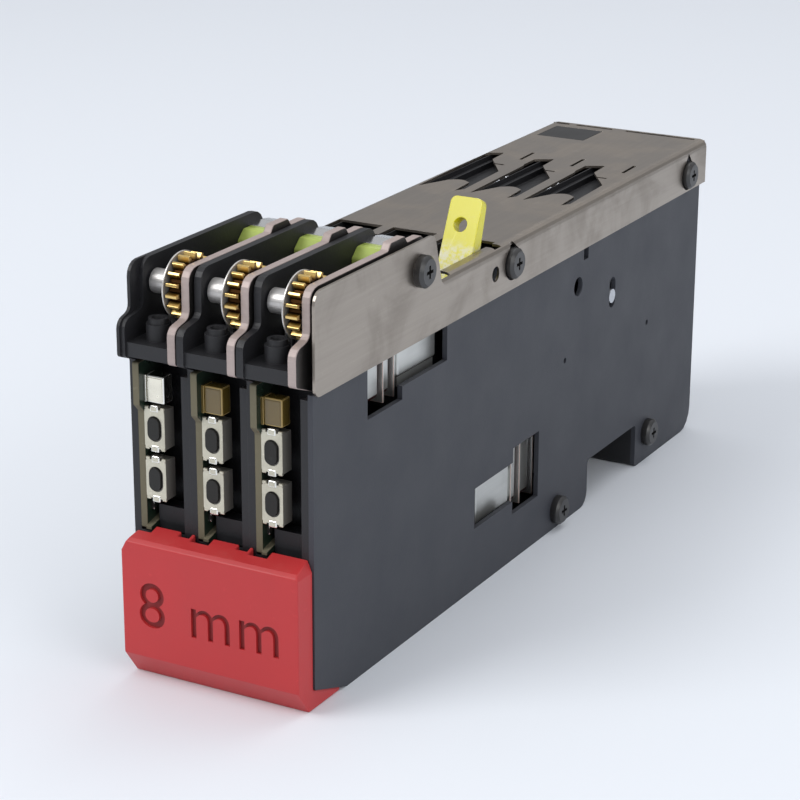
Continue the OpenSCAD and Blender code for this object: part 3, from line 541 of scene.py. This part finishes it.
class FEEDER_OT_hardware(FeederOperator, bpy.types.Operator):
    """Finish the gears, axles, springs and screws"""

    bl_idname = "feeder.hardware"
    bl_label = "Gears and Hardware"

    def execute(self, context):
        s = self.sizes
        for i in LANES:
            bm = merged_copy(f"peel_gear_{i}")
            for f in bm.faces:
                f.material_index = 1 if f.calc_center_median().x < LANE_X[i] + 7.25 * MM else 0
            ease_edges(bm, s.tooth_edge)
            to_piece(f"peel_gear_rimmed_{i}", bm, ["Brass gear", "Gear rim"], f"peel_gear_{i}", [f"peel_gear_{i}"])
            dress_node(f"pinch_gear_{i}", "Dark gear", s.tooth_edge)
            dress_node(f"feed_pinion_{i}", "Bright steel", s.tooth_edge)
            dress_node(f"sprocket_{i}", "Bright steel", s.tooth_edge)
            for which in ("upper", "lower"):
                dress_node(f"button_{which}_{i}", "Key rubber", s.edge, segments=3)
        for node in ("gear_axles", "sprocket_axle", "lever_pin"):
            dress_node(node, "Bright steel", s.tooth_edge)
        for node in ("cover_screws", "panel_screws", "tie_rods"):
            dress_node(node, "Black oxide", s.edge)
        dress_node("leaf_springs", "Spring steel", s.sheet_edge)
        dress_node("lever_spring", "Spring steel")
        return {"FINISHED"}


class FEEDER_OT_plates(FeederOperator, bpy.types.Operator):
    """Finish the keypad boards, whose cut edges show the bare board, and the peel plates, whose faces not turned
    across the lane get a painted highlight
    """

    bl_idname = "feeder.plates"
    bl_label = "Plates and Boards"

    def execute(self, context):
        kinds = (("peel_plate", "Plate steel", "Plate painted highlight", "plate_steel", self.sizes.edge),
                 ("circuit_board", "Solder mask", "Board edge", "board", self.sizes.sheet_edge))
        for node, side, edge, slot, width in kinds:
            for i in LANES:
                bm = merged_copy(f"{node}_{i}")
                # Faces not turned across the lane take the second colour: the board's own edge colour, and on the
                # peel plates a painted highlight
                for f in bm.faces:
                    f.material_index = 0 if abs(f.normal.x) > 0.7 else 1
                ease_edges(bm, width, material=1)
                to_piece(f"{node}_finished_{i}", bm, [side, edge], "root", [f"{node}_{i}"])
        return {"FINISHED"}


class FEEDER_OT_motors(FeederOperator, bpy.types.Operator):
    """Build the gearmotors with their wound coils, flanges and casings"""

    bl_idname = "feeder.motors"
    bl_label = "Gearmotors"

    def build(self, node, gearbox_first, mid_z, box_len, coil_z, block_z, gear_z):
        low, high = (Vector(p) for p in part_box(node))
        width = high.x - low.x
        sign = 1 if gearbox_first else -1
        face = low.y + box_len if gearbox_first else high.y - box_len

        def span(start, end, x0, x1, z0, z1, edge, material):
            ys = sorted((face + sign * start, face + sign * end))
            add_block(bm, Vector((low.x + x0, ys[0], mid_z + z0)), Vector((low.x + x1, ys[1], mid_z + z1)), edge, material)

        bm = bmesh.new()
        flange, stations, neck_len, block_len = 0.5 * MM, [0.0, 5.9 * MM, 9.8 * MM], MM, 14.3 * MM
        for start in stations:
            span(start, start + flange, 0, width, coil_z[0], coil_z[1], 0.12 * MM, 2)
        for start, end in zip(stations, stations[1:]):
            span(start + flange, end, 0.7 * MM, width - 0.7 * MM, coil_z[0] + MM, coil_z[1] - MM, 0.9 * MM, 1)
        neck = stations[-1] + flange
        span(neck, neck + neck_len, 0, width - 0.6 * MM, -3.6 * MM, 2.4 * MM, 0.2 * MM, 3)
        block = neck + neck_len
        rail = 2.2 * MM if gearbox_first else 0.0
        span(block, block + block_len, 0, width, block_z[0] + rail, block_z[1], 0.35 * MM, 3)
        if rail:
            span(block, block + 14.0 * MM, 0.4 * MM, width - 0.3 * MM, block_z[0], block_z[0] + rail, 0.2 * MM, 4)
        # Gearbox in two shells with its seam
        seam, reach = 0.08 * MM, 4.6 * MM
        for x0, x1 in ((0, reach / 2 - seam), (reach / 2 + seam, reach)):
            span(-box_len, -0.02 * MM, x0, x1, gear_z[0], gear_z[1], 0.4 * MM, 5)
        to_piece(f"{node}_wound", bm, ["Motor casing", "Winding", "Coil flange", "Motor casing", "Plate steel", "Gearbox casing"],
                 "root", [node])

    def execute(self, context):
        for i in LANES:
            peel_z, feed_z = 54.6 * MM, 15.2 * MM
            pinch_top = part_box(f"pinch_gear_{i}")
            pinch_z = (pinch_top[0][2] + pinch_top[1][2]) / 2
            self.build(f"peel_motor_{i}", True, peel_z, 13 * MM, (-7 * MM, 6.8 * MM), (-5.8 * MM, 6.8 * MM),
                       (-4.6 * MM, pinch_z + 3.2 * MM - peel_z))
            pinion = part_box(f"feed_pinion_{i}")
            pinion_z = (pinion[0][2] + pinion[1][2]) / 2
            self.build(f"feed_motor_{i}", False, feed_z, 19 * MM, (-6.2 * MM, 8.2 * MM), (-4 * MM, 4 * MM),
                       (-6 * MM, pinion_z + 4 * MM - feed_z))
        return {"FINISHED"}


class FEEDER_OT_keys(FeederOperator, bpy.types.Operator):
    """Build the plated key frames over the switch bodies"""

    bl_idname = "feeder.keys"
    bl_label = "Key Frames"

    def execute(self, context):
        s = self.sizes
        for i in LANES:
            for which in ("upper", "lower"):
                node = f"switch_{which}_{i}"
                low, high = (Vector(p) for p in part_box(node))
                key_low, key_high = (Vector(p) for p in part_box(f"button_{which}_{i}"))
                # The switch bodies take the darker grey: painted shade on the side faces beside the bright key frames
                dress_node(node, "Key side painted shade", s.sheet_edge)
                mid = (low + high) / 2
                hole = (key_high - key_low) / 2 + Vector((0.28, 0, 0.28)) * MM
                thick = 0.16 * MM
                bm = bmesh.new()
                # Frame: rounded plate with an oval hole, made by bridging two rings
                rings = []
                half = Vector(((high.x - low.x) / 2, 0, (high.z - low.z) / 2 - 0.55 * MM))
                for wide, tall, rounding in ((half.x, half.z, 0.5 * MM), (hole.x, hole.z, hole.x)):
                    ring = []
                    for k in range(32):
                        a = 2 * math.pi * (k + 0.5) / 32
                        c, d = math.cos(a), math.sin(a)
                        x = math.copysign(wide - rounding, c) + rounding * c
                        z = math.copysign(tall - rounding, d) + rounding * d
                        ring.append(bm.verts.new((mid.x + x, low.y - thick, mid.z + z)))
                    rings.append([bm.edges.new((ring[k], ring[(k + 1) % 32])) for k in range(32)])
                bmesh.ops.bridge_loops(bm, edges=rings[0] + rings[1])
                bmesh.ops.recalc_face_normals(bm, faces=bm.faces)
                pushed = bmesh.ops.extrude_face_region(bm, geom=bm.faces[:])
                moved = [g for g in pushed["geom"] if isinstance(g, bmesh.types.BMVert)]
                bmesh.ops.translate(bm, verts=moved, vec=(0, thick, 0))
                # Corner ears and bright solder tabs
                for side in (-1, 1):
                    z = mid.z + side * (half.z + 0.1 * MM)
                    add_block(bm, Vector((mid.x - 0.85 * MM, low.y - 0.3 * MM, z - 0.62 * MM)),
                              Vector((mid.x + 0.85 * MM, low.y + 0.25 * MM, z + 0.62 * MM)), 0.25 * MM, 1, 3)
                    for end in (-1, 1):
                        x = mid.x + end * (half.x - 0.45 * MM)
                        add_block(bm, Vector((x - 0.42 * MM, low.y - 0.2 * MM, z - 0.25 * MM)),
                                  Vector((x + 0.42 * MM, low.y + 0.3 * MM, z + 0.35 * MM)), 0.15 * MM, 0)
                to_piece(f"key_frame_{which}_{i}", bm, ["Key frame", "Solder"], "root")
        return {"FINISHED"}


class FEEDER_OT_indicators(FeederOperator, bpy.types.Operator):
    """Build the indicator windows with their pale rims"""

    bl_idname = "feeder.indicators"
    bl_label = "Indicators"

    def execute(self, context):
        for i in LANES:
            low, high = (Vector(p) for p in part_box(f"indicator_{i}"))
            bm = bmesh.new()
            strip = 0.55 * MM
            add_block(bm, low, Vector((low.x + strip, high.y, high.z)), 0.1 * MM, 1)
            rim_low, rim_high = Vector((low.x + strip + 0.03 * MM, low.y + 0.15 * MM, low.z)), high
            add_block(bm, rim_low, rim_high, 0.22 * MM, 1, 3)
            inset = 0.34 * MM
            add_block(bm, rim_low + Vector((inset * 0.4, -0.08 * MM, inset)),
                      Vector((rim_high.x - inset, rim_high.y - inset, rim_high.z - inset)), 0.12 * MM, 0)
            # Lane 1's window and rim are painted bright silvery metal, a painted highlight; the other lanes keep
            # amber
            window = "Painted highlight window" if i == 1 else "Amber window"
            to_piece(f"indicator_window_{i}", bm, [window, "Solder" if i == 1 else "Amber rim"], "root", [f"indicator_{i}"])
        return {"FINISHED"}


class FEEDER_OT_label(FeederOperator, bpy.types.Operator):
    """Lay the blank dark label in its seat on the cover, and fit the small parts on the keypad boards"""

    bl_idname = "feeder.label"
    bl_label = "Label and Board Parts"

    def execute(self, context):
        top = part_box("lane_frame_1")[0][2] + 67.1 * MM
        bm = bmesh.new()
        add_block(bm, Vector((place(1, 2.7, 0, 0).x, place(1, 0, 155.5, 0).y, top - 0.14 * MM)),
                  Vector((place(1, 13.9, 0, 0).x, place(1, 0, 165.7, 0).y, top + 0.02 * MM)), 0.03 * MM, 0, 1)
        to_piece("cover_label", bm, ["Blank label"], "root")
        for i in LANES:
            bm = bmesh.new()
            # Chip resistors and a small connector on the board's open face, beside and below the keys
            for y, z, length, height in ((3.4, 31.2, 1.0, 1.8), (1.4, 30.6, 0.8, 1.5), (4.6, 41.8, 0.9, 1.6),
                                         (4.6, 50.6, 1.0, 2.0)):
                low = place(i, 2.72, y, z)
                add_block(bm, low, low + Vector((0.5, length, height)) * MM, 0.06 * MM, 0, 1)
                for end in (0, height - 0.35):
                    cap = low + Vector((-0.02, -0.03, end)) * MM
                    add_block(bm, cap, cap + Vector((0.56, length + 0.06, 0.35)) * MM, 0.04 * MM, 1, 1)
            to_piece(f"board_parts_{i}", bm, ["Key rubber", "Solder"], "root")
        return {"FINISHED"}


class FEEDER_OT_cap(FeederOperator, bpy.types.Operator):
    """Engrave the tape width into the front cap"""

    bl_idname = "feeder.cap"
    bl_label = "Front Cap"

    marking: StringProperty(name="Marking", default="8 mm", description="Tape width in plain figures")

    def execute(self, context):
        s = self.sizes
        low, high = (Vector(p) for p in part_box("front_cap"))
        text = bpy.data.curves.new("marking", "FONT")
        text.body = self.marking
        text.size = s.marking_height / 0.7
        text.space_character = 1.08
        text.extrude = s.marking_depth
        text.align_x = "CENTER"
        text.align_y = "CENTER"
        text.resolution_u = 6
        holder = bpy.data.objects.new("marking", text)
        context.scene.collection.objects.link(holder)
        graph = context.evaluated_depsgraph_get()
        cutter_mesh = bpy.data.meshes.new_from_object(holder.evaluated_get(graph))
        bpy.data.objects.remove(holder)
        seat = Vector(((low.x + high.x) / 2, low.y, 14.6 * MM))
        cutter_mesh.transform(Matrix.Translation(seat) @ Matrix.Rotation(math.radians(90), 4, "X"))
        cutter_mesh.materials.clear()
        cutter = bpy.data.objects.new("marking_cutter", cutter_mesh)
        context.scene.collection.objects.link(cutter)
        bm = merged_copy("front_cap")
        ease_edges(bm, 2 * s.edge, segments=3)
        mesh = bpy.data.meshes.new("cap")
        bm.to_mesh(mesh)
        bm.free()
        blank = bpy.data.objects.new("cap_blank", mesh)
        context.scene.collection.objects.link(blank)
        cut = blank.modifiers.new("Engrave", "BOOLEAN")
        cut.operation = "DIFFERENCE"
        cut.solver = "EXACT"
        cut.object = cutter
        graph = context.evaluated_depsgraph_get()
        engraved = bpy.data.meshes.new_from_object(blank.evaluated_get(graph))
        for obj in (blank, cutter):
            bpy.data.objects.remove(obj)
        engraved.materials.clear()
        floor_y = low.y + s.marking_depth
        for f in engraved.polygons:
            f.material_index = 1 if abs(f.center.y - floor_y) < 0.03 * MM and f.normal.y < -0.9 else 0
        keep_piece("front_cap_engraved", engraved, ["Red moulding", "Red engraving"], "root", ["front_cap"])
        return {"FINISHED"}


class FEEDER_OT_stage(FeederOperator, bpy.types.Operator):
    """Set up the pale floor, the soft lamps and the camera"""

    bl_idname = "feeder.stage"
    bl_label = "Stage"

    def execute(self, context):
        scene = context.scene
        st = scene.feeder_stage
        bm = bmesh.new()
        bmesh.ops.create_grid(bm, x_segments=1, y_segments=1, size=6.0)
        mesh = bpy.data.meshes.new("floor")
        bm.to_mesh(mesh)
        bm.free()
        floor = bpy.data.objects.new("floor", mesh)
        scene.collection.objects.link(floor)
        material, _, shader, _ = blank_material("Pale floor")
        shader.inputs["Base Color"].default_value = opaque(scene.feeder_colours.floor)
        shader.inputs["Roughness"].default_value = 0.9
        mesh.materials.append(material)

        world = bpy.data.worlds.new("Studio")
        scene.world = world
        world.use_nodes = True
        tree = world.node_tree
        back = tree.nodes["Background"]
        ray = tree.nodes.new("ShaderNodeTexCoord").outputs["Generated"]
        height = add_node(tree, "ShaderNodeSeparateXYZ", None, Vector=ray).outputs["Z"]
        ramp = tree.nodes.new("ShaderNodeValToRGB")
        ramp.color_ramp.elements[0].position = 0.0
        ramp.color_ramp.elements[0].color = (0.30, 0.31, 0.33, 1)
        ramp.color_ramp.elements[1].position = 0.75
        ramp.color_ramp.elements[1].color = (0.92, 0.94, 0.98, 1)
        tree.links.new(height, ramp.inputs[0])
        tree.links.new(ramp.outputs[0], back.inputs["Color"])
        back.inputs["Strength"].default_value = 0.70

        centre = (Vector(cad_box[0]) + Vector(cad_box[1])) / 2
        lamps = (
            ("key", st.key_power, (-0.55, -0.75, 0.85), 0.6),
            ("fill", st.fill_power, (0.95, -0.35, 0.45), 0.7),
            ("top", st.fill_power, (0.1, 0.5, 1.1), 0.8),
        )
        for name, power, offset, size in lamps:
            light = bpy.data.lights.new(name, "AREA")
            light.energy = power
            light.size = size
            lamp = bpy.data.objects.new(name, light)
            lamp.location = centre + Vector(offset)
            lamp.rotation_euler = Vector(offset).to_track_quat("Z", "Y").to_euler()
            scene.collection.objects.link(lamp)

        az, el = math.radians(st.azimuth), math.radians(st.elevation)
        eye = bpy.data.cameras.new("camera")
        eye.lens = st.lens
        eye.sensor_width = 36
        eye.clip_start, eye.clip_end = 0.01, 50
        camera = bpy.data.objects.new("camera", eye)
        camera.location = (0.2185, -0.4145, 0.1928)
        look = Matrix.Rotation(az, 4, "Z") @ Matrix.Rotation(math.radians(90) - el, 4, "X")
        camera.rotation_euler = (look @ Matrix.Rotation(math.radians(0.22), 4, "Z")).to_euler()
        scene.collection.objects.link(camera)
        scene.camera = camera
        scene.view_settings.view_transform = "Standard"
        return {"FINISHED"}


class FEEDER_PT_panel(bpy.types.Panel):
    """Sidebar panel that lists the steps"""

    bl_label = "Tape Feeder"
    bl_idname = "FEEDER_PT_panel"
    bl_space_type = "VIEW_3D"
    bl_region_type = "UI"
    bl_category = "Feeder"

    def draw(self, context):
        layout = self.layout
        for operator in OPERATORS:
            layout.operator(operator.bl_idname)
        for group in ("feeder_colours", "feeder_sizes", "feeder_stage"):
            settings = getattr(context.scene, group)
            for prop in settings.bl_rna.properties:
                if prop.identifier not in {"rna_type", "name"}:
                    layout.prop(settings, prop.identifier)


GROUPS = (("feeder_colours", FeederColours), ("feeder_sizes", FeederSizes), ("feeder_stage", FeederStage))
OPERATORS = (
    FEEDER_OT_frames,
    FEEDER_OT_hardware,
    FEEDER_OT_plates,
    FEEDER_OT_motors,
    FEEDER_OT_keys,
    FEEDER_OT_indicators,
    FEEDER_OT_label,
    FEEDER_OT_cap,
    FEEDER_OT_stage,
)


def register():
    for name, group in GROUPS:
        bpy.utils.register_class(group)
        setattr(bpy.types.Scene, name, PointerProperty(type=group))
    for cls in (*OPERATORS, FEEDER_PT_panel):
        bpy.utils.register_class(cls)


def unregister():
    for cls in (FEEDER_PT_panel, *reversed(OPERATORS)):
        bpy.utils.unregister_class(cls)
    for name, group in reversed(GROUPS):
        delattr(bpy.types.Scene, name)
        bpy.utils.unregister_class(group)


def main():
    register()
    for operator in OPERATORS:
        group, name = operator.bl_idname.split(".")
        getattr(getattr(bpy.ops, group), name)()


if __name__ == "__main__":
    main()
